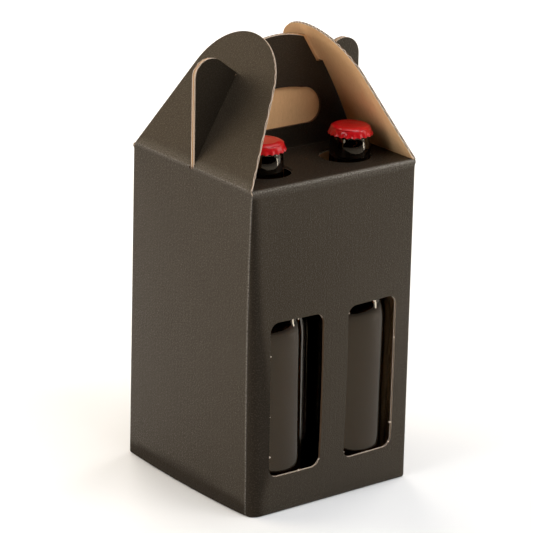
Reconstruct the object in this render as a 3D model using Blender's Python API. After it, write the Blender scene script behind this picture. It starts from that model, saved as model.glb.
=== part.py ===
"""Four-bottle carrier folded from one blank of corrugated board, dark outside and natural kraft inside.

The front and back walls fold in at the top as panels with neck holes, then fold up, back to back, as the
handle. The side walls carry on above their creases as two flaps that lean together, and the ears of the
handle panels reach out through the slits of those flaps. Four brown bottles with crown caps stand inside.

Units are metres, +Z is up, the front wall faces -Y, and the origin is in the middle of the foot.
"""

import math

import bmesh
import bpy
from mathutils import Matrix, Vector
from mathutils.geometry import delaunay_2d_cdt, intersect_line_line_2d, intersect_point_line

MM = 0.001

# Board and body
BOARD = 1.5 * MM
BODY_HALF = 63.0 * MM
BODY_HEIGHT = 212.0 * MM
FOOT_HALF_WIDTH = 61.0 * MM
FOOT_HALF_DEPTH = 65.6 * MM
FOOT_BOARD = 2 * BOARD
FOOT_RISE = 20.0 * MM
SIDE_BULGE = 3.8 * MM
FACE_BULGE = 3.5 * MM

# Windows in the front and back walls
WINDOW_INNER = 9.6 * MM
WINDOW_OUTER = 49.7 * MM
WINDOW_BOTTOM = 24.7 * MM
WINDOW_TOP = 126.5 * MM
WINDOW_CORNER = 6.5 * MM

# Top panels and handle panels
LAYER_GAP = 0.3 * MM
PANEL_HALF = 60.6 * MM
PANEL_DEPTH = BODY_HALF - BOARD - LAYER_GAP / 2
NECK_HOLE_RADIUS = 16.4 * MM
NECK_HOLE_X = 31.0 * MM
NECK_HOLE_Y = 32.6 * MM
HANDLE_TOP = 73.9 * MM
HANDLE_SHOULDER = 70.8 * MM
HAND_HOLE_CENTRE = 1.0 * MM
HAND_HOLE_HALF = 33.9 * MM
HAND_HOLE_BOTTOM = 14.3 * MM
HAND_HOLE_TOP = 40.2 * MM
HAND_HOLE_EDGE = 38.1 * MM
HAND_HOLE_LOW_RADIUS = 9.4 * MM
HAND_HOLE_HIGH_RADIUS = 15.0 * MM
EAR_FOOT = 0.8 * MM
EAR_RADIUS = 11.5 * MM
EAR_SLOPE = math.radians(36.5)
NOTCH_HEIGHT = 52.9 * MM
NOTCH_CLEARANCE = 0.4 * MM
NOTCH_REACH = 12.0 * MM

# How far the left and the right ear of each panel reach, and the height of their round ends
FRONT_EARS = ((61.8 * MM, 55.0 * MM), (64.3 * MM, 53.9 * MM))
BACK_EARS = ((63.4 * MM, 54.0 * MM), (62.4 * MM, 55.0 * MM))

# Flaps: the lean from upright, how far the board's middle bows outwards, and how far its round top is skewed
FLAP_BASE_HALF = 62.4 * MM
FLAP_LENGTH = 90.2 * MM
FLAP_RADIUS = 42.0 * MM
BOW_HALF = 50.0 * MM
LEFT_FLAP = (math.radians(30.3), 0.0, 0.0)
RIGHT_FLAP = (math.radians(28.2), 2.5 * MM, -4.0 * MM)
SLIT_HALF = 2.05 * MM
SLIT_FOOT = 0.5 * MM

# Free play between a flap and the notch that holds it, for the left and the right end of each panel
FRONT_PLAY = (1.5 * MM, 4.2 * MM)
BACK_PLAY = (1.0 * MM, 2.5 * MM)

# How finely the board is divided
BOARD_STEP = 24.0 * MM
EDGE_CLEARANCE = 5.0 * MM
CORNER_STEPS = 3
HOLE_STEPS = 20
MERGE = 0.01 * MM

# Bottles: radius and height pairs from the foot, with the hollow side last
BOTTLE_SEGMENTS = 24
BOTTLE_CLEARANCE = 0.3 * MM
BOTTLE_OUTSIDE = ((22.0, 1.3), (25.6, 0.0), (28.9, 1.7), (30.0, 6.0), (30.0, 104.4), (29.0, 114.8),
                  (26.0, 126.0), (21.3, 138.0), (17.0, 153.0), (14.4, 175.0), (13.0, 200.0), (12.7, 212.5),
                  (12.3, 217.0), (11.6, 221.2), (12.4, 222.6), (12.4, 225.0), (11.2, 226.8))
BOTTLE_INSIDE = ((9.2, 226.8), (9.2, 204.0), (10.9, 182.0), (13.8, 156.0), (18.8, 138.0), (23.9, 124.0),
                 (26.6, 111.0), (27.0, 102.0), (27.0, 9.0), (24.0, 5.0))
FILL_HEIGHT = 172.0
FILL_RADIUS = 11.9

# Crown caps
CAP_FOOT = 222.2 * MM
CAP_FLUTES = 21
CAP_STEPS = 2
CAP_RINGS = ((9.0, 6.1, 0.0), (11.6, 5.7, 0.0), (13.0, 4.2, 0.1), (13.95, 0.0, 0.45),
             (13.45, 0.0, 0.45), (12.75, 3.6, 0.1), (12.75, 4.95, 0.0))

# Each bottle's foot on the base board, and how far its neck stands from upright above that foot
BOTTLES = {
    "front_left": ((-32.0, -33.0), (0.1, 1.4)),
    "front_right": ((31.2, -33.8), (3.0, 0.6)),
    "back_left": ((-31.0, 31.5), (0.0, 0.8)),
    "back_right": ((31.0, 31.5), (-0.6, 0.6)),
}


def clear_scene():
    """Remove whatever the scene holds."""
    for item in list(bpy.data.objects):
        bpy.data.objects.remove(item, do_unlink=True)


def make_material(name, colour, roughness, metallic=0.0, transmission=0.0):
    """A Principled BSDF in one colour."""
    material = bpy.data.materials.new(name)
    material.use_nodes = True
    shader = material.node_tree.nodes["Principled BSDF"]
    shader.inputs["Base Color"].default_value = (*colour, 1.0)
    shader.inputs["Roughness"].default_value = roughness
    shader.inputs["Metallic"].default_value = metallic
    shader.inputs["Transmission Weight"].default_value = transmission
    return material


def add_object(name, bm, material, smooth_angle=None):
    """Turn a bmesh into an object of the scene."""
    bmesh.ops.recalc_face_normals(bm, faces=bm.faces)
    bmesh.ops.triangulate(bm, faces=bm.faces)
    mesh = bpy.data.meshes.new(name)
    bm.to_mesh(mesh)
    bm.free()
    if smooth_angle is not None:
        mesh.shade_smooth()
        mesh.set_sharp_from_angle(angle=smooth_angle)
    mesh.materials.append(material)
    item = bpy.data.objects.new(name, mesh)
    bpy.context.scene.collection.objects.link(item)
    return item


# Outlines on the flat blank

def arc(centre, radii, start, end, steps):
    """Points on a stretch of an ellipse, with both its ends."""
    angles = [start + (end - start) * i / steps for i in range(steps + 1)]
    return [Vector((centre[0] + radii[0] * math.cos(a), centre[1] + radii[1] * math.sin(a))) for a in angles]


def divided(points, step, closed=True):
    """The outline with each edge cut into equal pieces no longer than a step."""
    result = []
    last = len(points) if closed else len(points) - 1
    for i in range(last):
        here = points[i]
        there = points[(i + 1) % len(points)]
        pieces = max(1, math.ceil((there - here).length / step - 1e-6))
        result += [here.lerp(there, k / pieces) for k in range(pieces)]
    if not closed:
        result.append(points[-1])
    return result


def is_inside(point, outline):
    """True where a point lies inside a closed outline."""
    inside = False
    for i, here in enumerate(outline):
        there = outline[i - 1]
        if (here.y > point.y) != (there.y > point.y):
            crossing = here.x + (point.y - here.y) * (there.x - here.x) / (there.y - here.y)
            if point.x < crossing:
                inside = not inside
    return inside


def edge_distance(point, outline):
    """The distance from a point to a closed outline."""
    nearest = math.inf
    for i, here in enumerate(outline):
        foot, share = intersect_point_line(point, outline[i - 1], here)
        if share < 0:
            foot = outline[i - 1]
        elif share > 1:
            foot = here
        nearest = min(nearest, (point - Vector(foot[:2])).length)
    return nearest


def window_outline(side):
    """A tall window with rounded corners, on the side of the wall given by a sign."""
    middle = side * (WINDOW_INNER + WINDOW_OUTER) / 2
    half = (WINDOW_OUTER - WINDOW_INNER) / 2 - WINDOW_CORNER
    low = WINDOW_BOTTOM + WINDOW_CORNER
    high = WINDOW_TOP - WINDOW_CORNER
    corners = ((half, low, -0.5), (half, high, 0.0), (-half, high, 0.5), (-half, low, 1.0))
    points = []
    for across, up, turn in corners:
        points += arc((middle + across, up), (WINDOW_CORNER, WINDOW_CORNER), turn * math.pi,
                      (turn + 0.5) * math.pi, CORNER_STEPS)
    return points


def neck_hole_outline(side):
    """A round hole in the top panel."""
    up = BODY_HEIGHT + BODY_HALF - NECK_HOLE_Y
    radii = (NECK_HOLE_RADIUS, NECK_HOLE_RADIUS)
    return arc((side * NECK_HOLE_X, up), radii, 0, math.tau * (1 - 1 / HOLE_STEPS), HOLE_STEPS - 1)


def hand_hole_outline():
    """The hand hole: flat below, gently arched above, with rounded ends."""
    fold = BODY_HEIGHT + PANEL_DEPTH
    low = HAND_HOLE_BOTTOM + HAND_HOLE_LOW_RADIUS
    half = arc((HAND_HOLE_HALF - HAND_HOLE_LOW_RADIUS, low), (HAND_HOLE_LOW_RADIUS, HAND_HOLE_LOW_RADIUS),
               -0.5 * math.pi, 0, CORNER_STEPS)
    half += arc((HAND_HOLE_HALF - HAND_HOLE_HIGH_RADIUS, low), (HAND_HOLE_HIGH_RADIUS, HAND_HOLE_EDGE - low),
                0, 0.5 * math.pi, CORNER_STEPS + 1)[1:]
    right = [Vector((HAND_HOLE_CENTRE + p.x, fold + p.y)) for p in half]
    left = [Vector((HAND_HOLE_CENTRE - p.x, fold + p.y)) for p in reversed(half)]
    return right + [Vector((HAND_HOLE_CENTRE, fold + HAND_HOLE_TOP))] + left


def flap_rise(flap, along, across=0.0):
    """How far the bowed board of a flap stands out from its straight line, most in its middle."""
    return flap[1] * math.sin(math.pi * along / FLAP_LENGTH) * max(0.0, 1 - (across / BOW_HALF) ** 2)


def flap_face(flap, height):
    """Distance from the middle of the body to a flap's dark side, at a height above the crease."""
    lean = flap[0]
    bow = flap_rise(flap, height / math.cos(lean)) / math.cos(lean)
    return BODY_HALF - height * math.tan(lean) + bow


def handle_end(flap, play, ear):
    """One end of a handle panel, from its fold up and over the ear to the notch and the top corner."""
    reach, height = ear
    points = [Vector((PANEL_HALF, 0)), Vector((PANEL_HALF, EAR_FOOT)), Vector((reach, EAR_FOOT))]
    centre = (reach - EAR_RADIUS, height)
    points += arc(centre, (EAR_RADIUS, EAR_RADIUS), 0, 0.5 * math.pi + EAR_SLOPE, CORNER_STEPS + 2)
    shoulder = points[-1]
    slope = Vector((-math.cos(EAR_SLOPE), -math.sin(EAR_SLOPE)))
    outer = [Vector((flap_face(flap, NOTCH_HEIGHT + rise) + NOTCH_CLEARANCE, NOTCH_HEIGHT + rise))
             for rise in (0, NOTCH_REACH)]
    points.append(intersect_line_line_2d(shoulder, shoulder + slope * BODY_HALF, *outer))
    points.append(outer[0])
    thickness = BOARD / math.cos(flap[0])
    for height in (NOTCH_HEIGHT, HANDLE_SHOULDER):
        points.append(Vector((flap_face(flap, height) - thickness - play, height)))
    return points


def handle_outline(left_flap, right_flap, play, ears):
    """A whole handle panel, from the left end of its fold to the right end and back over the top."""
    right = handle_end(right_flap, play[1], ears[1])
    left = [Vector((-p.x, p.y)) for p in handle_end(left_flap, play[0], ears[0])]
    middle = (right[-1].x + left[-1].x) / 2
    half = (right[-1].x - left[-1].x) / 2
    crown = []
    for i in range(1, 2 * CORNER_STEPS):
        share = 1 - i / CORNER_STEPS
        drop = (HANDLE_TOP - HANDLE_SHOULDER) * share ** 2
        crown.append(Vector((middle + half * share, HANDLE_TOP - drop)))
    return right + crown + left[::-1]


def face_strip(left_flap, right_flap, play, ears, with_hand_hole):
    """Front or back strip of the blank: wall, top panel and handle panel, with its holes and folds."""
    fold = BODY_HEIGHT + PANEL_DEPTH
    outline = [Vector((-BODY_HALF, 0)), Vector((BODY_HALF, 0)), Vector((BODY_HALF, BODY_HEIGHT)),
               Vector((PANEL_HALF, BODY_HEIGHT))]
    outline += [Vector((p.x, p.y + fold)) for p in handle_outline(left_flap, right_flap, play, ears)]
    outline += [Vector((-PANEL_HALF, BODY_HEIGHT)), Vector((-BODY_HALF, BODY_HEIGHT))]
    holes = [window_outline(side) for side in (-1, 1)] + [neck_hole_outline(side) for side in (-1, 1)]
    if with_hand_hole:
        holes.append(hand_hole_outline())
    folds = [[Vector((-PANEL_HALF, up)), Vector((PANEL_HALF, up))] for up in (BODY_HEIGHT, fold)]
    return outline, holes, folds


def side_turn(half, centre):
    """Angle, below level, at which the round top of a flap runs into its straight side."""
    reach = math.hypot(half, centre)
    return math.atan2(centre, half) + math.asin(FLAP_RADIUS / reach) - 0.5 * math.pi


def side_strip(flap):
    """Left or right strip of the blank: wall and flap, with the slit that lets the ears through."""
    centre = FLAP_LENGTH - FLAP_RADIUS
    skew = flap[2]
    right_turn = side_turn(FLAP_BASE_HALF - skew, centre)
    left_turn = side_turn(FLAP_BASE_HALF + skew, centre)
    crown = arc((skew, BODY_HEIGHT + centre), (FLAP_RADIUS, FLAP_RADIUS), -right_turn, math.pi + left_turn,
                4 * CORNER_STEPS)
    outline = [Vector((-BODY_HALF, 0)), Vector((BODY_HALF, 0)), Vector((BODY_HALF, BODY_HEIGHT)),
               Vector((FLAP_BASE_HALF, BODY_HEIGHT))]
    outline += crown + [Vector((-FLAP_BASE_HALF, BODY_HEIGHT)), Vector((-BODY_HALF, BODY_HEIGHT))]
    lean = flap[0]
    thick = BOARD - flap_rise(flap, NOTCH_HEIGHT / math.cos(lean))
    slit_top = (NOTCH_HEIGHT + NOTCH_CLEARANCE + thick * math.sin(lean)) / math.cos(lean)
    slit = [Vector((x, BODY_HEIGHT + up)) for x, up in
            ((-SLIT_HALF, SLIT_FOOT), (SLIT_HALF, SLIT_FOOT), (SLIT_HALF, slit_top), (-SLIT_HALF, slit_top))]
    folds = [[Vector((-FLAP_BASE_HALF, BODY_HEIGHT)), Vector((FLAP_BASE_HALF, BODY_HEIGHT))]]
    return outline, [slit], folds


# From the flat blank to the folded board

def wall_point(across, up, depth, half_across, half_out, bulge):
    """A point of a bulging wall, where depth runs from the dark side into the board."""
    share = across / BODY_HALF
    limit = half_across - depth
    x = max(-limit, min(limit, share * half_across))
    lift = FOOT_BOARD * depth / BOARD * max(0.0, 1 - up / FOOT_RISE)
    return Vector((x, -(half_out - depth + bulge * (1 - share ** 2)), up + lift))


def body_sizes(up):
    """Half width, half depth, side bulge and face bulge of the body at a height."""
    share = up / BODY_HEIGHT
    width = FOOT_HALF_WIDTH + (BODY_HALF - FOOT_HALF_WIDTH) * share
    depth = FOOT_HALF_DEPTH + (BODY_HALF - FOOT_HALF_DEPTH) * share
    side_swell = SIDE_BULGE * math.cos(0.5 * math.pi * share ** 2)
    face_swell = FACE_BULGE * math.sin(math.pi * share)
    return width, depth, side_swell, face_swell


def face_point(across, up, depth):
    """Fold the front strip: wall, then the level top panel, then the upright handle panel."""
    if up < BODY_HEIGHT - MERGE or abs(across) > PANEL_HALF + MERGE and up < BODY_HEIGHT + MERGE:
        width, half_depth, _, bulge = body_sizes(up)
        return wall_point(across, up, depth, width, half_depth, bulge)
    inward = min(up - BODY_HEIGHT, PANEL_DEPTH)
    y = -BODY_HALF + inward + depth * (inward < MERGE or inward > PANEL_DEPTH - MERGE)
    rise = max(0.0, up - BODY_HEIGHT - PANEL_DEPTH)
    return Vector((across, y, BODY_HEIGHT + rise - depth * (rise < MERGE)))


def side_point(across, up, depth, flap):
    """Fold a side strip: wall, then the leaning flap."""
    if up < BODY_HEIGHT - MERGE or abs(across) > FLAP_BASE_HALF + MERGE and up < BODY_HEIGHT + MERGE:
        width, half_depth, bulge, _ = body_sizes(up)
        return wall_point(across, up, depth, half_depth, width, bulge)
    lean = flap[0]
    along = up - BODY_HEIGHT
    if along < MERGE:
        return Vector((across, -BODY_HALF + depth, BODY_HEIGHT - depth * math.tan(lean / 2)))
    out = flap_rise(flap, along, across) - depth
    return Vector((across, -BODY_HALF + along * math.sin(lean) - out * math.cos(lean),
                   BODY_HEIGHT + along * math.cos(lean) + out * math.sin(lean)))


def add_strip(bm, kraft, strip, fold_point, turn):
    """Triangulate one strip of the blank, fold it, turn it to its side and add it to the sheet."""
    outline, holes, folds = strip
    loops = [divided(outline, BOARD_STEP)] + [divided(hole, BOARD_STEP) for hole in holes]
    points = []
    edges = []
    for loop in loops:
        first = len(points)
        points += loop
        edges += [(first + i, first + (i + 1) % len(loop)) for i in range(len(loop))]
    for fold in folds:
        first = len(points)
        points += divided(fold, BOARD_STEP, closed=False)
        edges += [(i, i + 1) for i in range(first, len(points) - 1)]
    columns = range(-int(BODY_HALF // BOARD_STEP), int(BODY_HALF // BOARD_STEP) + 1)
    for row in range(1, int(max(p.y for p in outline) // BOARD_STEP) + 1):
        for column in columns:
            point = Vector((column * BOARD_STEP, row * BOARD_STEP))
            is_clear = all(edge_distance(point, loop) > EDGE_CLEARANCE for loop in loops)
            if is_clear and is_inside(point, outline):
                points.append(point)
    flat, _, faces, _, _, _ = delaunay_2d_cdt(points, edges, [], 0, MERGE)
    rotation = Matrix.Rotation(turn, 3, "Z")
    verts = []
    for point in flat:
        vert = bm.verts.new(rotation @ fold_point(point.x, point.y, 0.0))
        vert[kraft] = rotation @ fold_point(point.x, point.y, BOARD)
        verts.append(vert)
    for face in faces:
        middle = sum((flat[i] for i in face), Vector((0, 0))) / len(face)
        if is_inside(middle, loops[0]) and not any(is_inside(middle, loop) for loop in loops[1:]):
            bm.faces.new([verts[i] for i in face])
    bmesh.ops.delete(bm, geom=[v for v in verts if not v.link_faces], context="VERTS")


def thicken(bm, kraft):
    """Give the folded sheet its board thickness: a kraft side behind every face, and a raw edge round it."""
    dark_faces = list(bm.faces)
    twins = {vert: bm.verts.new(vert[kraft]) for vert in list(bm.verts)}
    rim = [edge for edge in bm.edges if len(edge.link_faces) == 1]
    for edge in rim:
        start, end = edge.link_loops[0].vert, edge.link_loops[0].link_loop_next.vert
        bm.faces.new((end, start, twins[start], twins[end]))
    for face in dark_faces:
        bm.faces.new([twins[vert] for vert in reversed(face.verts)])


def build_carton():
    """The whole carton, folded from four strips and closed below by its base board."""
    bm = bmesh.new()
    kraft = bm.verts.layers.float_vector.new("kraft side")
    front = face_strip(LEFT_FLAP, RIGHT_FLAP, FRONT_PLAY, FRONT_EARS, with_hand_hole=True)
    back = face_strip(RIGHT_FLAP, LEFT_FLAP, BACK_PLAY, BACK_EARS, with_hand_hole=False)
    add_strip(bm, kraft, front, face_point, 0)
    add_strip(bm, kraft, back, face_point, math.pi)
    for flap, turn in ((RIGHT_FLAP, 0.5 * math.pi), (LEFT_FLAP, -0.5 * math.pi)):
        strip = side_strip(flap)
        add_strip(bm, kraft, strip, lambda x, up, depth, f=flap: side_point(x, up, depth, f), turn)
    bmesh.ops.remove_doubles(bm, verts=bm.verts, dist=MERGE)
    foot = [e for e in bm.edges if len(e.link_faces) == 1 and max(v.co.z for v in e.verts) < MERGE]
    bmesh.ops.edgeloop_fill(bm, edges=foot)
    bmesh.ops.recalc_face_normals(bm, faces=bm.faces)
    thicken(bm, kraft)
    return add_object("carton", bm, make_material("dark board", (0.045, 0.036, 0.027), 0.6))


# Bottles, beer and caps

def turned(rings, segments, flutes=0):
    """A closed body from rings of radius, height and flute depth, with a flat face in the first and last."""
    bm = bmesh.new()
    loops = []
    for radius, height, flute in rings:
        loop = []
        for i in range(segments):
            angle = math.tau * i / segments
            reach = radius + flute * math.cos(flutes * angle)
            loop.append(bm.verts.new((reach * math.cos(angle), reach * math.sin(angle), height)))
        loops.append(loop)
    for below, above in zip(loops, loops[1:]):
        for i in range(segments):
            k = (i + 1) % segments
            bm.faces.new((below[i], below[k], above[k], above[i]))
    bm.faces.new(loops[0][::-1])
    bm.faces.new(loops[-1])
    return bm


def in_metres(rings):
    """Rings given in millimetres, with no flutes where none are given."""
    return [(ring[0] * MM, ring[1] * MM, (ring[2] if len(ring) > 2 else 0.0) * MM) for ring in rings]


def beer_rings():
    """The beer inside a bottle, a clearance away from the glass, up to its fill height."""
    inside = [ring for ring in reversed(BOTTLE_INSIDE) if ring[1] < FILL_HEIGHT]
    clearance = BOTTLE_CLEARANCE / MM
    rings = [(radius - clearance, height) for radius, height in inside]
    rings[0] = (inside[0][0], inside[0][1] + clearance)
    return rings + [(FILL_RADIUS - clearance, FILL_HEIGHT)]


def stand(item, foot, neck):
    """Place a piece of a bottle on its foot and tip it so that its neck stands where it should."""
    tip = Vector((neck[0] * MM, neck[1] * MM, CAP_FOOT)).normalized()
    item.rotation_mode = "QUATERNION"
    item.rotation_quaternion = Vector((0, 0, 1)).rotation_difference(tip)
    slack = BOTTLE_OUTSIDE[1][0] * MM * math.hypot(tip.x, tip.y)
    item.location = (foot[0] * MM, foot[1] * MM, FOOT_BOARD + BOTTLE_CLEARANCE + slack)


def build_bottles():
    """Four bottles, each with its beer and its crown cap."""
    glass = make_material("brown glass", (0.09, 0.03, 0.008), 0.05, transmission=0.6)
    beer = make_material("beer", (0.16, 0.06, 0.012), 0.1)
    red = make_material("red enamel", (0.45, 0.012, 0.016), 0.25)
    smooth = math.radians(40)
    for place, (foot, neck) in BOTTLES.items():
        bottle = turned(in_metres(BOTTLE_OUTSIDE + BOTTLE_INSIDE), BOTTLE_SEGMENTS)
        stand(add_object(f"bottle_{place}", bottle, glass, smooth), foot, neck)
        drink = turned(in_metres(beer_rings()), BOTTLE_SEGMENTS)
        stand(add_object(f"beer_{place}", drink, beer, smooth), foot, neck)
        cap = turned(in_metres(CAP_RINGS), CAP_STEPS * CAP_FLUTES, CAP_FLUTES)
        bmesh.ops.translate(cap, verts=cap.verts, vec=(0, 0, CAP_FOOT))
        stand(add_object(f"cap_{place}", cap, red, smooth), foot, neck)


clear_scene()
build_carton()
build_bottles()
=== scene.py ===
# %% [markdown]
# # A bottle carrier of dark corrugated board
# The frame already holds the carrier at its real size: a folded carton, four bottles, their beer, their
# caps. Its solids are plain and faceted. This lesson makes the surfaces that the eye reads: soft folds,
# raw cut edges with their flutes, brown glass with light in it, and crimped red caps. Each piece is built
# where its solid stands.

import math
from functools import partial

import bmesh
import bpy
import numpy as np
from mathutils import Matrix, Vector, kdtree
from mathutils.geometry import delaunay_2d_cdt, intersect_line_line_2d


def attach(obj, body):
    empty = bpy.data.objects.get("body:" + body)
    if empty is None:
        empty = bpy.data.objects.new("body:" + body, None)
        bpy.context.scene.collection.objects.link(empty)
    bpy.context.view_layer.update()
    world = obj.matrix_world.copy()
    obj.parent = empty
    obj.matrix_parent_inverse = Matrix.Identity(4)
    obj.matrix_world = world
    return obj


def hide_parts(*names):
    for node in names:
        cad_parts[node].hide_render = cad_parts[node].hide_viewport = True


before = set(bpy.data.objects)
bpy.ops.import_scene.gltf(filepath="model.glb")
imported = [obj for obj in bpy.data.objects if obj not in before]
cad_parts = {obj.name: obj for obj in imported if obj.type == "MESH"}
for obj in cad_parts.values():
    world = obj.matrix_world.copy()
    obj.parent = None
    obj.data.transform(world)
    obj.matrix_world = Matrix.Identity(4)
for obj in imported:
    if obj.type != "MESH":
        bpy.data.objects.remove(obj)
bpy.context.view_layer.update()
MM = 0.001

# %% [markdown]
# ## The camera
# A product picture of a box is taken from far away with a long lens, so that its upright edges stay nearly
# parallel. The camera here stands to the left of the front wall and looks down on the carton a little. A
# slight roll is left in, as the picture has it. Aiming with three angles and a distance keeps each choice
# apart.

# %% Camera
AZIMUTH = math.radians(-37.11)
ELEVATION = math.radians(19.03)
ROLL = math.radians(1.19)
DISTANCE = 1832.7 * MM
AIM_HEIGHT = 135.2 * MM
AIM_SIDE = -3.0 * MM
SENSOR = 36.0
LENS = 195.9


def add_camera():
    """A long lens aimed at the middle of the carton."""
    flat = math.cos(ELEVATION)
    back = Vector((math.sin(AZIMUTH) * flat, -math.cos(AZIMUTH) * flat, math.sin(ELEVATION)))
    right = Vector((math.cos(AZIMUTH), math.sin(AZIMUTH), 0))
    up = back.cross(right)
    tilted_right = math.cos(ROLL) * right + math.sin(ROLL) * up
    tilted_up = math.cos(ROLL) * up - math.sin(ROLL) * right
    data = bpy.data.cameras.new("camera")
    data.sensor_width = SENSOR
    data.lens = LENS
    camera = bpy.data.objects.new("camera", data)
    turn = Matrix((tilted_right, tilted_up, back)).transposed().to_4x4()
    place = AIM_SIDE * right + Vector((0, 0, AIM_HEIGHT)) + back * DISTANCE
    camera.matrix_world = Matrix.Translation(place) @ turn
    bpy.context.scene.collection.objects.link(camera)
    bpy.context.scene.camera = camera
    return camera


camera = add_camera()
print("camera stands", round(camera.location.length, 3), "m from the foot of the carton")

# %% [markdown]
# ## Shader maths as Python
# A procedural finish is mostly arithmetic on noise: mix, scale, cut off. Written node by node it is hard to
# read, so a small class wraps one output socket and lets Python's operators add the Math nodes. A second
# class holds the material and adds every other node through one method. Numbers that never meet a socket
# stay plain Python.

# %% Wires and finishes
class Wire:
    """One output socket, used in Python expressions."""

    def __init__(self, finish, socket):
        self.finish = finish
        self.socket = socket

    def math(self, operation, first, second, clamp=False):
        settings = {"operation": operation, "use_clamp": clamp}
        return self.finish.node("ShaderNodeMath", settings, {0: first, 1: second})

    def __add__(self, other):
        return self.math("ADD", self, other)

    def __radd__(self, other):
        return self.math("ADD", other, self)

    def __sub__(self, other):
        return self.math("SUBTRACT", self, other)

    def __rsub__(self, other):
        return self.math("SUBTRACT", other, self)

    def __mul__(self, other):
        return self.math("MULTIPLY", self, other)

    def __rmul__(self, other):
        return self.math("MULTIPLY", other, self)

    def __abs__(self):
        return self.math("ABSOLUTE", self, 0.0)

    def clipped(self):
        """The value kept between nought and one."""
        return self.math("ADD", self, 0.0, clamp=True)

    def between(self, low, high):
        """A soft step: nought below low, one above high."""
        settings = {"interpolation_type": "SMOOTHSTEP"}
        inputs = {"Value": self, "From Min": low, "From Max": high}
        return self.finish.node("ShaderNodeMapRange", settings, inputs)

    def scaled(self, factors):
        """A vector with each part multiplied by a factor."""
        return self.finish.node("ShaderNodeVectorMath", {"operation": "MULTIPLY"}, {0: self, 1: factors})


# The colour sockets of the Mix node go by number, because it has others with the same names.
MIX_FIRST = 6
MIX_SECOND = 7
MIX_RESULT = 2


class Finish:
    """A material in the making: its Principled BSDF, set by name, and a method that adds any other node."""

    def __init__(self, name, **values):
        self.material = bpy.data.materials.new(name)
        self.material.use_nodes = True
        self.nodes = self.material.node_tree.nodes
        self.links = self.material.node_tree.links
        self.shader = self.nodes["Principled BSDF"]
        for words, value in values.items():
            self.set(words.replace("_", " ").title().replace("Ior", "IOR"), value)

    def feed(self, socket, value):
        """Give a socket a number, a colour or a link."""
        if isinstance(value, Wire):
            self.links.new(value.socket, socket)
        elif socket.type == "RGBA" and len(value) == 3:
            socket.default_value = (*value, 1.0)
        else:
            socket.default_value = value

    def set(self, name, value):
        """Set or link one socket of the shader."""
        self.feed(self.shader.inputs[name], value)

    def node(self, kind, settings=None, inputs=None, output=0):
        """Add a node, make its settings, fill its sockets, and return one output as a wire."""
        node = self.nodes.new(kind)
        for name, value in (settings or {}).items():
            setattr(node, name, value)
        for name, value in (inputs or {}).items():
            self.feed(node.inputs[name], value)
        return Wire(self, node.outputs[output])

    def noise(self, place, size, detail=2.0, roughness=0.5):
        """Noise whose grains measure about one size, in metres."""
        inputs = {"Vector": place, "Scale": 1 / size, "Detail": detail, "Roughness": roughness}
        return self.node("ShaderNodeTexNoise", {}, inputs)

    def mix(self, share, first, second):
        """A colour between two colours."""
        inputs = {0: share, MIX_FIRST: first, MIX_SECOND: second}
        return self.node("ShaderNodeMix", {"data_type": "RGBA"}, inputs, MIX_RESULT)

    def attribute(self, name, output):
        """What the mesh carries under a name: its "Vector", or its "Fac" for a plain number."""
        return self.node("ShaderNodeAttribute", {"attribute_name": name}, {}, output)

    def split(self, vector):
        """The three parts of a vector."""
        node = self.nodes.new("ShaderNodeSeparateXYZ")
        self.feed(node.inputs[0], vector)
        return [Wire(self, socket) for socket in node.outputs]

    def bump(self, height, distance):
        """Raise the surface by a height between nought and one, times a distance in metres."""
        inputs = {"Height": height, "Distance": distance}
        normal = self.node("ShaderNodeBump", {}, inputs)
        self.set("Normal", normal)
        return normal

    def blend(self, share, other):
        """Let a second shader take over where a share says so."""
        own = Wire(self, self.shader.outputs[0])
        mixed = self.node("ShaderNodeMixShader", {}, {0: share, 1: own, 2: other})
        self.links.new(mixed.socket, self.nodes["Material Output"].inputs["Surface"])


print("operators ready:", [name for name in dir(Wire) if name.startswith("__r") and name != "__repr__"])

# %% [markdown]
# ## Floor and surround
# The carton stands on a plain white floor that runs into a white surround. The floor is a real surface,
# because dark board takes much of its light from what it stands on. The surround is white for the camera
# alone. It could give light as well, but lamps with places of their own leave more shape in the folds.

# %% Floor and surround
FLOOR_HALF = 5.0
FLOOR_SQUARES = 8
FLOOR_WHITE = (0.93, 0.93, 0.93)
WORLD_FILL = 0.0
WORLD_SEEN = 0.93
WORLD_WHITE = (1.0, 1.0, 1.0, 1.0)


def add_floor():
    """A wide, plain, pale floor."""
    bm = bmesh.new()
    bmesh.ops.create_grid(bm, x_segments=FLOOR_SQUARES, y_segments=FLOOR_SQUARES, size=FLOOR_HALF)
    mesh = bpy.data.meshes.new("floor")
    bm.to_mesh(mesh)
    bm.free()
    floor = bpy.data.objects.new("floor", mesh)
    bpy.context.scene.collection.objects.link(floor)
    finish = Finish("floor white", base_color=FLOOR_WHITE, roughness=0.6, specular_ior_level=0.2)
    mesh.materials.append(finish.material)
    return floor


def add_world():
    """A surround that the camera sees as white and that gives no light of its own."""
    world = bpy.data.worlds.new("studio")
    world.use_nodes = True
    nodes = world.node_tree.nodes
    seen = nodes.new("ShaderNodeLightPath").outputs["Is Camera Ray"]
    strength = nodes.new("ShaderNodeMapRange")
    strength.inputs["To Min"].default_value = WORLD_FILL
    strength.inputs["To Max"].default_value = WORLD_SEEN
    world.node_tree.links.new(seen, strength.inputs["Value"])
    world.node_tree.links.new(strength.outputs[0], nodes["Background"].inputs["Strength"])
    nodes["Background"].inputs["Color"].default_value = WORLD_WHITE
    bpy.context.scene.world = world


floor = add_floor()
add_world()
print("stage is", floor.name, "and it is", 2 * FLOOR_HALF, "m wide")

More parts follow.
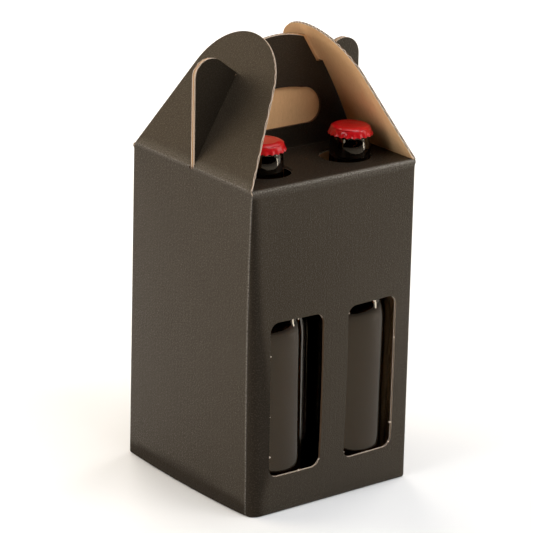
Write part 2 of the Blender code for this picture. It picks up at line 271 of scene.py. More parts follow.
# %% [markdown]
# ## Lamps
# Dark board shows hardly any colour of its own: what the eye reads on it is the sheen of the bright
# floor. So five of the eight wide lamps stand low, four of them to the back, where they light the floor
# and stay off the handle. Six lit panels stand nearer. The narrow ones give the glass something small and
# bright to mirror, the wider ones give bottles and board a soft sheen, and one high up brightens the
# crease over the front wall. One broad light from above keeps the shadows faint. A picture of a studio
# could light it all at once, but not one wall at a time.

# %% Lamps
WARM = (1.0, 0.93, 0.84)
AMBER = (1.0, 0.86, 0.67)
COOL = (0.95, 0.97, 1.0)
# Each lamp: name, azimuth and elevation in degrees, size in metres, watts, colour.
LAMPS = (
    ("low back left", -160, 20, 0.8, 5.0, AMBER),
    ("low far left", -138, 20, 0.8, 4.8, AMBER),
    ("low front right", 42, 20, 0.8, 1.6, WARM),
    ("low right", 110, 20, 0.8, 8.8, WARM),
    ("low back right", 160, 20, 0.8, 14.0, WARM),
    ("high left", -138, 50, 0.9, 6.4, AMBER),
    ("high front", 10, 50, 0.9, 10.0, COOL),
    ("high right", 90, 50, 0.9, 4.2, COOL),
)
# Each panel: name, azimuth in degrees, distance, lowest and highest point and width in metres, watts.
PANELS = (
    ("left strip", -84, 0.75, (0.16, 0.42), 0.11, 1.3),
    ("upper left strip", -78, 0.90, (0.30, 0.70), 0.35, 1.6),
    ("left neck strip", -88, 0.75, (0.07, 0.24), 0.06, 0.75),
    ("right neck strip", 46, 0.80, (0.07, 0.22), 0.06, 0.4),
    ("right panel", 56, 0.80, (0.10, 0.50), 0.47, 0.8),
    ("crease strip", 38, 1.50, (1.05, 1.50), 0.45, 4.0),
)
LAMP_DISTANCE = 1.8
LAMP_AIM = 0.18
TOP_STRENGTH = 0.93
TOP_SPREAD = math.radians(50)
TOP_TILT = math.radians(10)


def lamp_object(name, kind, energy, away, place):
    """A lamp at a place, shining against a direction."""
    data = bpy.data.lights.new(name, kind)
    data.energy = energy
    lamp = bpy.data.objects.new(name, data)
    lamp.location = place
    lamp.rotation_euler = away.to_track_quat("Z", "Y").to_euler()
    bpy.context.scene.collection.objects.link(lamp)
    return data


def direction(azimuth, elevation):
    """The way from the carton to a lamp, from two angles in degrees."""
    turn = math.radians(azimuth)
    rise = math.radians(elevation)
    return Vector((math.sin(turn) * math.cos(rise), -math.cos(turn) * math.cos(rise), math.sin(rise)))


def add_lamps():
    """The wide lamps round the carton, the lit panels near it, and a broad light from above."""
    aim = Vector((0, 0, LAMP_AIM))
    for name, azimuth, elevation, size, watts, colour in LAMPS:
        away = direction(azimuth, elevation)
        data = lamp_object(name, "AREA", watts, away, aim + away * LAMP_DISTANCE)
        data.size = size
        data.color = colour
    for name, azimuth, distance, (low, high), width, watts in PANELS:
        away = direction(azimuth, 0)
        middle = Vector((0, 0, (low + high) / 2))
        data = lamp_object(name, "AREA", watts, away, away * distance + middle)
        data.shape = "RECTANGLE"
        data.size, data.size_y = width, high - low
    away = Vector((0, -math.sin(TOP_TILT), math.cos(TOP_TILT)))
    data = lamp_object("top light", "SUN", TOP_STRENGTH, away, Vector((0, 0, LAMP_DISTANCE)))
    data.angle = TOP_SPREAD


add_lamps()
bpy.context.scene.view_settings.view_transform = "Standard"

# %% [markdown]
# ## The board's sizes
# The real carrier is die-cut from one sheet and folded, and the mesh is made the same way: outlines on a
# flat blank, then a fold. `across` runs along a wall and `up` runs from the foot over every crease, so a
# hole keeps its true shape wherever the board turns. The sizes are those of the solids, with small radii
# where the solids have sharp creases.

# %% Sizes of the carton
BOARD = 1.5 * MM
BODY_HALF = 63.0 * MM
BODY_HEIGHT = 212.0 * MM
FOOT_HALF_WIDTH = 61.0 * MM
FOOT_HALF_DEPTH = 65.6 * MM
SIDE_BULGE = 3.8 * MM
FACE_BULGE = 3.5 * MM
LAYER_GAP = 0.3 * MM
PANEL_HALF = 60.6 * MM
PANEL_DEPTH = BODY_HALF - BOARD - LAYER_GAP / 2
PANEL_FOLD = BODY_HEIGHT + PANEL_DEPTH
HANDLE_TOP = 73.9 * MM
HANDLE_SHOULDER = 70.8 * MM
EAR_FOOT = -1.1 * MM
EAR_ROOT = 60.75 * MM
FRONT_EARS = ((61.8 * MM, 55.0 * MM), (64.3 * MM, 53.9 * MM))
BACK_EARS = ((63.4 * MM, 54.0 * MM), (62.4 * MM, 55.0 * MM))
EAR_RADIUS = 11.5 * MM
EAR_SLOPE = math.radians(36.5)
NOTCH_HEIGHT = 52.9 * MM
NOTCH_CLEARANCE = 0.4 * MM
NOTCH_REACH = 12.0 * MM
FLAP_LENGTH = 90.2 * MM
FLAP_RADIUS = 42.0 * MM
LEFT_FLAP = {"lean": math.radians(30.3), "bow": 0.0, "skew": 0.0,
             "base": (61.0 * MM, 61.2 * MM)}
RIGHT_FLAP = {"lean": math.radians(28.2), "bow": 2.5 * MM, "skew": -4.0 * MM,
              "base": (62.8 * MM, 61.0 * MM)}
BOW_HALF = 61.0 * MM
FRONT_PLAY = (1.5 * MM, 4.2 * MM)
BACK_PLAY = (1.0 * MM, 2.5 * MM)
CREASE_RADIUS = 2.3 * MM
VALLEY_RADIUS = 0.5 * MM
FLAP_CREASE_RADIUS = 2.0 * MM
SHARP_CORNER = 1.7 * MM
SOFT_CORNER = (8.0 * MM, 6.1 * MM)
SOFT_SHARE = 0.92
SOFT_POWER = 1.6
KNEE = 52.0 * MM
CREASE_HALF = 62.8 * MM
FOOT_RADIUS = 1.6 * MM
FOOT_SPREAD = 1.4 * MM
FOOT_TUCK = 0.8 * MM
TUCK_HEIGHT = 10.0 * MM
CREASE_START = BODY_HEIGHT - CREASE_RADIUS
WALLS = 4
print("blank is", round(WALLS * 2 * BODY_HALF / MM), "mm wide when laid flat")

# %% [markdown]
# ## Outlines on the blank
# Each hole is a short list of corners joined by arcs. A curve tool could draw them too, but plain points
# are easy to cut into equal pieces, which the folding needs later.

# %% Outlines of the holes
CORNER_STEPS = 8
ARCH_STEPS = 10
HOLE_POINTS = 64
WINDOW_INNER = 9.6 * MM


def arc(centre, radii, start, end, steps):
    """Points on a stretch of an ellipse, with both its ends; angles in turns of half a circle."""
    points = []
    for i in range(steps + 1):
        angle = math.pi * (start + (end - start) * i / steps)
        across = centre[0] + radii[0] * math.cos(angle)
        points.append(Vector((across, centre[1] + radii[1] * math.sin(angle))))
    return points


def divided(points, step, closed=True):
    """The outline with each edge cut into equal pieces no longer than a step."""
    result = []
    last = len(points) if closed else len(points) - 1
    for i in range(last):
        here = points[i]
        there = points[(i + 1) % len(points)]
        pieces = max(1, math.ceil((there - here).length / step - 1e-6))
        result += [here.lerp(there, k / pieces) for k in range(pieces)]
    return result if closed else result + [points[-1]]


def window_outline(side):
    """A tall window with rounded corners, on the side of the wall given by a sign."""
    outer, bottom, top, corner = (value * MM for value in (49.7, 24.7, 126.5, 6.5))
    middle = side * (WINDOW_INNER + outer) / 2
    half = (outer - WINDOW_INNER) / 2 - corner
    corners = ((half, bottom + corner, -0.5), (half, top - corner, 0.0),
               (-half, top - corner, 0.5), (-half, bottom + corner, 1.0))
    points = []
    for across, up, turn in corners:
        points += arc((middle + across, up), (corner, corner), turn, turn + 0.5, CORNER_STEPS)
    return points


def neck_hole_outline(side):
    """A round hole in the top panel."""
    radius, x, y = (value * MM for value in (16.4, 31.0, 32.6))
    centre = (side * x, BODY_HEIGHT + BODY_HALF - y)
    return arc(centre, (radius, radius), 0, 2 - 2 / HOLE_POINTS, HOLE_POINTS - 1)


def hand_hole_half():
    """Right half of the hand hole above the fold: flat below, a round end, a gently arched top."""
    half, bottom, edge, low_radius, high_radius = (value * MM for value in (33.9, 14.3, 38.1, 9.4, 15.0))
    low = bottom + low_radius
    points = arc((half - low_radius, low), (low_radius, low_radius), -0.5, 0, CORNER_STEPS)
    return points + arc((half - high_radius, low), (high_radius, edge - low), 0, 0.5, ARCH_STEPS)[1:]


HAND_HOLE_CENTRE = 1.0 * MM
HAND_HOLE_TOP = 40.2 * MM


def hand_hole_outline():
    """The open hand hole of the front panel."""
    half = hand_hole_half()
    right = [Vector((HAND_HOLE_CENTRE + p.x, PANEL_FOLD + p.y)) for p in half]
    left = [Vector((HAND_HOLE_CENTRE - p.x, PANEL_FOLD + p.y)) for p in reversed(half)]
    edge = half[-1]
    arch = HAND_HOLE_TOP - edge.y
    shares = (0.75, 0.5, 0.25, 0, -0.25, -0.5, -0.75)
    crown = [Vector((HAND_HOLE_CENTRE + edge.x * s, PANEL_FOLD + edge.y + arch * (1 - s * s)))
             for s in shares]
    return right + crown + left


print("window outline has", len(window_outline(1)), "corners and arc points")

# %% [markdown]
# ## Flaps and handle
# The handle panel has the richest edge: it climbs over an ear, drops into the notch that grips the flap,
# and crosses over in a low arch. The notch follows the flap's own slope. Drawn by eye the two would never
# quite meet, so both are worked out from the same values.

# %% Outlines of the flaps and the handle
FLAP_STEPS = 72
EAR_STEPS = 18
CROWN_STEPS = 12
SLIT_HALF = 2.05 * MM
SLIT_FOOT = -1.5 * MM


def flap_rise(flap, along, across=0.0):
    """How far the bowed board of a flap stands out from its straight line, most in its middle."""
    middle = max(0.0, 1 - (across / BOW_HALF) ** 2) ** 2
    return flap["bow"] * math.sin(math.pi * along / FLAP_LENGTH) * middle


def flap_face(flap, height):
    """Distance from the middle of the body to a flap's dark side, at a height above the crease."""
    lean = flap["lean"]
    return BODY_HALF - height * math.tan(lean) + flap_rise(flap, height / math.cos(lean)) / math.cos(lean)


def side_turn(half, centre):
    """Angle, below level, at which the round top of a flap runs into its straight side."""
    reach = math.hypot(half, centre)
    return (math.atan2(centre, half) + math.asin(FLAP_RADIUS / reach)) / math.pi - 0.5


def flap_outline(flap):
    """A flap above its crease: straight sides that run into a round top, which may be skewed."""
    centre = FLAP_LENGTH - FLAP_RADIUS
    skew = flap["skew"]
    start = side_turn(flap["base"][1] - skew, centre)
    end = side_turn(flap["base"][0] + skew, centre)
    return arc((skew, BODY_HEIGHT + centre), (FLAP_RADIUS, FLAP_RADIUS), -start, 1 + end, FLAP_STEPS)


def slit_outline(flap):
    """The slit that lets the ears of the handle panels through a flap."""
    lean = flap["lean"]
    thick = BOARD - flap_rise(flap, NOTCH_HEIGHT / math.cos(lean))
    top = BODY_HEIGHT + (NOTCH_HEIGHT + NOTCH_CLEARANCE + thick * math.sin(lean)) / math.cos(lean)
    foot = SLIT_FOOT + BODY_HEIGHT
    corners = ((-SLIT_HALF, foot), (SLIT_HALF, foot), (SLIT_HALF, top), (-SLIT_HALF, top))
    return [Vector(corner) for corner in corners]


def handle_end(flap, play, ear):
    """One end of a handle panel, from its fold up and over the ear to the notch and the top corner."""
    reach, rise = ear
    points = [Vector((PANEL_HALF, 0)), Vector((EAR_ROOT, EAR_FOOT)), Vector((reach, EAR_FOOT))]
    end = 0.5 + EAR_SLOPE / math.pi
    points += arc((reach - EAR_RADIUS, rise), (EAR_RADIUS, EAR_RADIUS), 0, end, EAR_STEPS)
    slope = Vector((-math.cos(EAR_SLOPE), -math.sin(EAR_SLOPE)))
    outer = [Vector((flap_face(flap, height) + NOTCH_CLEARANCE, height))
             for height in (NOTCH_HEIGHT, NOTCH_HEIGHT + NOTCH_REACH)]
    points.append(intersect_line_line_2d(points[-1], points[-1] + slope * BODY_HALF, *outer))
    points.append(outer[0])
    for height in (NOTCH_HEIGHT, HANDLE_SHOULDER):
        points.append(Vector((flap_face(flap, height) - BOARD / math.cos(flap["lean"]) - play, height)))
    return points


def handle_outline(left_flap, right_flap, play, ears):
    """A whole handle panel, from the right end of its fold over the top to the left end."""
    right = handle_end(right_flap, play[1], ears[1])
    left = [Vector((-p.x, p.y)) for p in handle_end(left_flap, play[0], ears[0])]
    middle = (right[-1].x + left[-1].x) / 2
    half = (right[-1].x - left[-1].x) / 2
    shares = [1 - i / CROWN_STEPS for i in range(1, 2 * CROWN_STEPS)]
    arch = HANDLE_TOP - HANDLE_SHOULDER
    crown = [Vector((middle + half * s, HANDLE_TOP - arch * s * s)) for s in shares]
    return [Vector((p.x, p.y + PANEL_FOLD)) for p in right + crown + left[::-1]]


print("handle outline points:", len(handle_outline(LEFT_FLAP, RIGHT_FLAP, FRONT_PLAY, FRONT_EARS)))

# %% [markdown]
# ## Walls and corners
# Filled with bottles, the walls of the box swell a little, and its front corner is crushed rounder
# towards the foot. Each upright corner is an arc along `across`, shared between the two walls that meet
# there. A function gives a point and the direction that the dark side faces, so the kraft side is one
# board thickness behind. Bending a finished box would be quicker, but it would bend the holes too.

# %% Walls that bulge between their corners
def corner_shape(up, across_is_front, is_soft):
    """Radii of an upright corner along this wall and the other, and this wall's share of the turn."""
    if not is_soft:
        return SHARP_CORNER, SHARP_CORNER, 0.5
    growth = max(0.0, 1 - up / CREASE_START) ** SOFT_POWER
    along, out = (SHARP_CORNER + (radius - SHARP_CORNER) * growth for radius in SOFT_CORNER)
    share = 0.5 + (SOFT_SHARE - 0.5) * growth
    return (along, out, share) if across_is_front else (out, along, 1 - share)


def wall_side(across, up, half_across, half_out, bulge, corner):
    """Point and outward direction on the dark side of a bulging wall that faces -Y."""
    share = across / BODY_HALF
    sign = math.copysign(1.0, across)
    radius_along, radius_out, part = corner
    along = abs(share) * half_across
    start = half_across - radius_along
    arc_length = part * math.pi / 4 * (radius_along + radius_out)
    knee = KNEE / BODY_HALF * half_across
    if along > knee:
        along = knee + (along - knee) * (start + arc_length - knee) / (half_across - knee)
    swell = bulge * (1 - share * share)
    if along <= start:
        point = Vector((sign * along, -(half_out + swell), up))
        facing = Vector((2 * bulge * share / BODY_HALF, -1, 0)).normalized()
    else:
        turn = (along - start) / arc_length * part * math.pi / 2
        point = Vector((sign * (start + radius_along * math.sin(turn)),
                        -(half_out - radius_out + radius_out * math.cos(turn) + swell), up))
        facing = Vector((sign * math.sin(turn) / radius_along, -math.cos(turn) / radius_out, 0))
        facing.normalize()
    if up < FOOT_RADIUS:
        turn = (1 - up / FOOT_RADIUS) * math.pi / 2
        point -= facing * FOOT_RADIUS * (1 - math.cos(turn))
        point.z = FOOT_RADIUS * (1 - math.sin(turn))
        facing = facing * math.cos(turn) - Vector((0, 0, math.sin(turn)))
    return point, facing


def body_sizes(up):
    """Half width, half depth, side bulge and face bulge of the body at a height."""
    share = min(1.0, up / CREASE_START)
    width = FOOT_HALF_WIDTH + (BODY_HALF - FOOT_HALF_WIDTH) * share
    depth = FOOT_HALF_DEPTH + (BODY_HALF - FOOT_HALF_DEPTH) * share
    side_bulge = SIDE_BULGE * math.cos(0.5 * math.pi * share ** 2)
    face_bulge = FACE_BULGE * math.sin(math.pi * share)
    return width, depth, side_bulge, face_bulge


print("half width at the foot and halfway up, in mm:",
      [round(body_sizes(up)[0] / MM, 1) for up in (0, BODY_HEIGHT / 2)])

# %% [markdown]
# ## Creases
# A crease in board is never a sharp line. The outer paper stretches over a small radius, and that narrow
# round strip is what catches the light. So each crease is a short arc along `up`. A bevel would round it
# as well, but a fold function also says where every hole and edge above the crease comes to lie.

# %% Folds of the two kinds of strip
def fold_face(across, up, soft_end):
    """Front strip: wall, round crease, level top panel, tight valley, upright handle panel."""
    if up <= CREASE_START:
        width, depth, _, bulge = body_sizes(up)
        corner = corner_shape(up, True, across * soft_end > 0)
        return wall_side(across, up, width, depth, bulge, corner)
    if up < BODY_HEIGHT + CREASE_RADIUS:
        turn = (up - CREASE_START) / (2 * CREASE_RADIUS) * math.pi / 2
        y = -BODY_HALF + CREASE_RADIUS * (1 - math.cos(turn))
        z = BODY_HEIGHT - CREASE_RADIUS * (1 - math.sin(turn))
        return Vector((across, y, z)), Vector((0, -math.cos(turn), math.sin(turn)))
    panel_y = PANEL_DEPTH - BODY_HALF
    is_ear = abs(across) > (PANEL_HALF + EAR_ROOT) / 2 and up > PANEL_FOLD + 2 * EAR_FOOT
    if up < PANEL_FOLD - VALLEY_RADIUS and not is_ear:
        return Vector((across, up - BODY_HEIGHT - BODY_HALF, BODY_HEIGHT)), Vector((0, 0, 1))
    if up < PANEL_FOLD + VALLEY_RADIUS and not is_ear:
        turn = (up - PANEL_FOLD + VALLEY_RADIUS) / (2 * VALLEY_RADIUS) * math.pi / 2
        y = panel_y - VALLEY_RADIUS * (1 - math.sin(turn))
        z = BODY_HEIGHT + VALLEY_RADIUS * (1 - math.cos(turn))
        return Vector((across, y, z)), Vector((0, -math.sin(turn), math.cos(turn)))
    return Vector((across, panel_y, BODY_HEIGHT + up - PANEL_FOLD)), Vector((0, -1, 0))


def fold_side(across, up, flap, soft_end):
    """Side strip: wall, slight crease, leaning flap that may bow outwards."""
    lean = flap["lean"]
    reach = FLAP_CREASE_RADIUS * math.tan(lean / 2)
    if up <= BODY_HEIGHT - reach:
        width, depth, bulge, _ = body_sizes(up)
        corner = corner_shape(up, False, across * soft_end > 0)
        return wall_side(across, up, depth, width, bulge, corner)
    if up < BODY_HEIGHT + reach:
        turn = (up - BODY_HEIGHT + reach) / (2 * reach) * lean
        y = -BODY_HALF + FLAP_CREASE_RADIUS * (1 - math.cos(turn))
        z = BODY_HEIGHT - reach + FLAP_CREASE_RADIUS * math.sin(turn)
        return Vector((across, y, z)), Vector((0, -math.cos(turn), math.sin(turn)))
    along = up - BODY_HEIGHT
    facing = Vector((0, -math.cos(lean), math.sin(lean)))
    straight = Vector((across, along * math.sin(lean) - BODY_HALF, BODY_HEIGHT + along * math.cos(lean)))
    return straight + facing * flap_rise(flap, along, across), facing


print("front crease starts", round(CREASE_START / MM, 1), "mm above the foot")

# %% [markdown]
# ## From outline to sheet
# A triangulation that respects given edges turns an outline with holes into a flat mesh in one call. Loose
# points on a regular grid are added inside so that the walls can bulge smoothly, and rows of joined points
# follow every crease so that no triangle spans a fold. What lies in a hole or outside the outline is thrown
# away afterwards. Cutting holes with Booleans would leave long thin triangles that fold badly.

# %% Sheet maker
EDGE_STEP = 1.6 * MM
ROW_STEP = 3.2 * MM
GRID_STEP = 4.2 * MM
GRID_COLUMNS = 16
GRID_CLEAR = 0.6 * GRID_STEP
WELD = 0.02 * MM
UP_ROWS = [i * FOOT_RADIUS / 4 for i in range(5)]
CREASE_ROWS = [CREASE_START + i * CREASE_RADIUS / 4 for i in range(9)]
VALLEY_ROWS = [PANEL_FOLD + i * VALLEY_RADIUS / 2 for i in (-2, -1, 0, 1, 2)]
CORNER_COLUMNS = [BODY_HALF - value * MM for value in (0.45, 0.95, 1.7, 2.8, 4.1, 5.4, 6.8, 8.2, 9.6)]


def inside(points, loop):
    """For many points at once, whether each lies inside a closed loop."""
    x, y = np.array([tuple(p) for p in points]).T[:, :, None]
    ax, ay = np.array([tuple(p) for p in loop]).T
    bx, by = np.roll(ax, 1), np.roll(ay, 1)
    spans = (ay > y) != (by > y)
    with np.errstate(divide="ignore", invalid="ignore"):
        left_of = x < ax + (y - ay) * (bx - ax) / (by - ay)
    return (np.logical_and(spans, left_of).sum(axis=1) % 2).astype(bool)


def corner_edge():
    """Heights of the points on an upright corner, shared by the two strips that meet there."""
    between = divided([Vector((0, FOOT_RADIUS)), Vector((0, CREASE_START))], ROW_STEP, closed=False)
    return UP_ROWS[:-1] + [p.y for p in between]


def flat_sheet(outline, holes, lines):
    """Triangulate a strip of the blank: points and faces, in blank coordinates."""
    loops = [divided(loop, EDGE_STEP) for loop in [outline] + holes]
    rows = [divided(line, ROW_STEP, closed=False) for line in lines]
    points, edges = [], []
    for chain, closed in [(loop, True) for loop in loops] + [(row, False) for row in rows]:
        first = len(points)
        points += chain
        edges += [(i, i + 1) for i in range(first, len(points) - 1)]
        if closed:
            edges.append((len(points) - 1, first))
    near = kdtree.KDTree(len(points))
    for i, point in enumerate(points):
        near.insert((point.x, point.y, 0), i)
    near.balance()
    grid = []
    for row in range(1, int(max(p.y for p in outline) / GRID_STEP) + 1):
        shift = 0.5 * (row % 2)
        for column in range(-GRID_COLUMNS, GRID_COLUMNS + 1):
            grid.append(Vector(((column + shift) * GRID_STEP, row * GRID_STEP)))
    clear = [near.find((p.x, p.y, 0))[2] > GRID_CLEAR for p in grid]
    kept = inside(grid, loops[0]) & np.array(clear)
    points += [p for p, keep in zip(grid, kept) if keep]
    flat, _, faces = delaunay_2d_cdt(points, edges, [], 0, WELD / 4)[:3]
    middles = [sum((flat[i] for i in face), Vector((0, 0))) / 3 for face in faces]
    wanted = inside(middles, loops[0])
    for loop in loops[1:]:
        wanted &= ~inside(middles, loop)
    return flat, [face for face, keep in zip(faces, wanted) if keep]


print("rows up an upright corner:", len(corner_edge()))

# %% [markdown]
# ## The four sheets
# Front and back are one kind of strip, the two sides another, and both share their wall. Every edge where
# two strips meet has its points at the same heights, so that the sheets weld without a gap. Extra lines
# follow the creases and the fold line of the crushed corner.

# %% Sheets of the carton
FACE_CREASE_ENDS = ((62.8, 209.9), (62.8, 213.3), (61.6, 213.8), (60.6, 214.6))
FLAP_NICK_WIDTH = 0.8 * MM
FLAP_NICK_DEPTH = 1.9 * MM
FLAP_CREASE_STEPS = 3
FLAP_ROW_INSET = 0.1 * MM
FOLD_LINES = (-0.5 * MM, 0.0, 0.5 * MM)
FOLD_CURVE = (2.2, 9.2, 11.1)


def fold_inset(up):
    """How far round on the left wall the crushed front corner has its fold line."""
    share = up / BODY_HEIGHT
    start, rise, fall = FOLD_CURVE
    return (start + rise * share - fall * share * share) * MM


def level(up, half):
    """A row across a strip."""
    return [Vector((-half, up)), Vector((half, up))]


def body_outline(above):
    """The outline of a strip: its wall with both shared corners, then what stands above them."""
    heights = corner_edge()
    right = [Vector((BODY_HALF, up)) for up in heights]
    left = [Vector((-BODY_HALF, up)) for up in reversed(heights)]
    return right + above + left


def wall_lines():
    """Rows near the foot and columns beside the corners."""
    lines = [level(up, BODY_HALF) for up in UP_ROWS[1:]] + [level(CREASE_START, BODY_HALF)]
    for column in CORNER_COLUMNS:
        for side in (-1, 1):
            lines.append([Vector((side * column, 0)), Vector((side * column, CREASE_START))])
    return lines


def face_sheet(left_flap, right_flap, play, ears, extra_holes):
    """The flat sheet of the front or back strip."""
    crease = [Vector((x * MM, up * MM)) for x, up in FACE_CREASE_ENDS]
    above = crease + handle_outline(left_flap, right_flap, play, ears)
    above += [Vector((-point.x, point.y)) for point in reversed(crease)]
    holes = [window_outline(side) for side in (-1, 1)] + [neck_hole_outline(side) for side in (-1, 1)]
    lines = wall_lines() + [level(up, CREASE_HALF) for up in CREASE_ROWS[1:6]]
    lines += [level(up, PANEL_HALF) for up in CREASE_ROWS[6:] + VALLEY_ROWS]
    return flat_sheet(body_outline(above), holes + extra_holes, lines)


def side_sheet(flap):
    """The flat sheet of a side strip."""
    reach = FLAP_CREASE_RADIUS * math.tan(flap["lean"] / 2)
    left_base, right_base = flap["base"]
    nick = BODY_HEIGHT - FLAP_NICK_DEPTH
    above = [Vector((right_base + FLAP_NICK_WIDTH, nick)), Vector((right_base, BODY_HEIGHT - reach))]
    above += flap_outline(flap)
    above += [Vector((-left_base, BODY_HEIGHT - reach)), Vector((-left_base - FLAP_NICK_WIDTH, nick))]
    lines = wall_lines()
    if flap is LEFT_FLAP:
        for offset in FOLD_LINES:
            heights = corner_edge()[1:-1]
            lines.append([Vector((BODY_HALF - fold_inset(up) + offset, up)) for up in heights])
    for i in range(FLAP_CREASE_STEPS + 1):
        up = BODY_HEIGHT - reach + 2 * reach * i / FLAP_CREASE_STEPS
        inset = (up - BODY_HEIGHT + reach) * 0.5 + FLAP_ROW_INSET
        lines.append([Vector((-left_base + inset, up)), Vector((right_base - inset, up))])
    return flat_sheet(body_outline(above), [slit_outline(flap)], lines)


print("triangles in a side sheet:", len(side_sheet(RIGHT_FLAP)[1]))

# %% [markdown]
# ## Wear, a painted highlight, dull places and pressed edges
# A carton that has been filled and handled isn't even. Folds wear pale, a bumped corner and the foot of a
# wall go matt, and the die presses some cut edges shut. Along the crease over the front and back walls the
# pale grey is partly wear and partly a painted highlight, lighter towards the right of the front where the
# light falls. Each mark depends on a place on the blank, so each is a small function of that place, and the
# mesh carries its value to the finishes. Noise alone would spread such marks anywhere.

# %% Where the board is worn, painted with a highlight, dull or pressed
FACE_TURNS = (0, math.pi)
CORNER_WEAR = 0.6
CORNER_WEAR_WIDTH = 0.5 * MM
CREASE_HIGHLIGHT_DROP = 0.6 * MM
CREASE_HIGHLIGHT_WIDTH = 1.5 * MM
CREASE_HIGHLIGHT_SHARES = (0.75, 0.25)
FLAP_WEAR = 0.4
FLAP_WEAR_WIDTH = 0.7 * MM
CRUSHED_HEIGHTS = [value * MM for value in (0, 12, 22, 35, 75, 100, 130, 170, 205)]
CRUSHED_WIDTHS = [value * MM for value in (9.5, 9.5, 12, 17, 16, 12, 7.5, 5.5, 4.5)]
CRUSHED_SOFT = (3.5 * MM, 2.5 * MM)
SCUFF_HEIGHTS = (12.7, 4.7)
SCUFF_SOFT = 2.5 * MM
FOLD_SOFT = (0.4 * MM, 0.1 * MM)
POST_TOUCH = 0.5 * MM
HAND_HOLE_ZONE = (40.0 * MM, 60.0 * MM)


def ease(value, low, high):
    """A soft step in plain Python: nought below low, one above high."""
    share = min(1.0, max(0.0, (value - low) / (high - low)))
    return share * share * (3 - 2 * share)


def stripe(distance, width):
    """One on a line, fading to nought on both its sides."""
    return math.exp(-(distance / width) ** 2)


def wear_and_painted_highlight(across, up, turn):
    """How much a point is worn by lying on a fold, or painted with a highlight on the crease over a face
    wall, from nought to one.
    """
    edge = BODY_HALF - abs(across)
    if turn < 0 and across > 0:
        edge = abs(edge - fold_inset(up))
    elif turn == 0 and across < 0:
        edge = BODY_HALF
    corner = CORNER_WEAR * stripe(edge, CORNER_WEAR_WIDTH) if up < BODY_HEIGHT else 0.0
    if turn in FACE_TURNS:
        # Painted highlight along the crease over the front and back walls, partly wear, lighter towards the
        # right of the front where the light falls.
        least, growth = CREASE_HIGHLIGHT_SHARES
        crease = stripe(up - BODY_HEIGHT + CREASE_HIGHLIGHT_DROP, CREASE_HIGHLIGHT_WIDTH)
        crease *= least + growth * across / BODY_HALF
    else:
        crease = FLAP_WEAR * stripe(up - BODY_HEIGHT, FLAP_WEAR_WIDTH)
    return max(corner, crease)


def pressed(across, up, turn):
    """Whether the die pressed a cut edge of the front shut, so that no pale paper shows there."""
    beside_post = abs(across + WINDOW_INNER) < POST_TOUCH and up < BODY_HEIGHT
    reach, rise = HAND_HOLE_ZONE
    round_hand_hole = PANEL_FOLD < up < PANEL_FOLD + rise and abs(across) < reach
    return float(turn == 0 and (beside_post or round_hand_hole))


def dullness(across, up, turn):
    """How matt the board is: along the crushed front corner, and along the foot of the left wall."""
    if up > CREASE_START:
        return 0.0
    if turn == 0:
        width = float(np.interp(up, CRUSHED_HEIGHTS, CRUSHED_WIDTHS))
        return 1 - ease(across + BODY_HALF, width - CRUSHED_SOFT[0], width + CRUSHED_SOFT[1])
    if turn < 0:
        height = (SCUFF_HEIGHTS[0] - SCUFF_HEIGHTS[1] * (across / BODY_HALF) ** 2) * MM
        foot = 1 - ease(up, height - SCUFF_SOFT, height + SCUFF_SOFT)
        inset = fold_inset(up)
        beside = 1 - ease(BODY_HALF - across, inset - FOLD_SOFT[0], inset + FOLD_SOFT[1])
        return max(foot, beside)
    return 0.0


print("the crushed corner is", round(max(CRUSHED_WIDTHS) / MM), "mm wide where it is widest")

# %% [markdown]
# ## Thickness and raw edges
# Corrugated board is two papers with a wave between them, and a die-cut edge shows all three. A plain
# solid edge would look like plastic, so the rim here has four rows: the dark paper, two rows set back a
# little into the board, and the kraft paper. The wave itself is drawn by the finish, which knows from an
# attribute how deep in the board each point lies. The mesh also carries its blank coordinates, so flutes
# run the way the board was made.

# %% Strips and their thickness
RIM_ROWS = ((0.17, 0.22 * MM), (0.83, 0.22 * MM))
DARK, KRAFT, RAW = 0, 1, 2


def settle(point):
    """Spread the back left corner at the foot and tuck the foot of the left wall under."""
    low = max(0.0, 1 - point.z / BODY_HEIGHT)
    left = min(1.0, max(0.0, -point.x / FOOT_HALF_WIDTH))
    back = min(1.0, max(0.0, 0.5 + 0.5 * point.y / FOOT_HALF_DEPTH))
    tuck = max(0.0, 1 - point.z / TUCK_HEIGHT) ** 2 * left ** 6 * (1 - (point.y / FOOT_HALF_DEPTH) ** 2)
    spread = FOOT_SPREAD * low * left * back ** 2
    return point + Vector((FOOT_TUCK * max(0.0, tuck) - spread, spread, 0))


def add_strip(bm, layers, sheet, fold, turn):
    """Fold a flat sheet, turn it to its side of the body and add it to the mesh."""
    flat, faces = sheet
    rotation = Matrix.Rotation(turn, 3, "Z")
    used = {i for face in faces for i in face}
    verts = {}
    for i in used:
        across, up = flat[i]
        point, facing = fold(across, up)
        vert = bm.verts.new(settle(rotation @ point))
        vert[layers["behind"]] = settle(rotation @ (point - facing * BOARD))
        vert[layers["blank"]] = Vector((across + turn, up, 0))
        vert[layers["wear_and_highlight"]] = wear_and_painted_highlight(across, up, turn)
        vert[layers["pressed"]] = pressed(across, up, turn)
        vert[layers["dull"]] = dullness(across, up, turn)
        verts[i] = vert
    for face in faces:
        bm.faces.new([verts[i] for i in face])


def rim_vert(bm, layers, vert, share, place):
    """A vertex of the raw edge, a share of the way through the board."""
    new = bm.verts.new(place)
    new[layers["blank"]] = Vector((vert[layers["blank"]].x, vert[layers["blank"]].y, share))
    new[layers["pressed"]] = vert[layers["pressed"]]
    return new


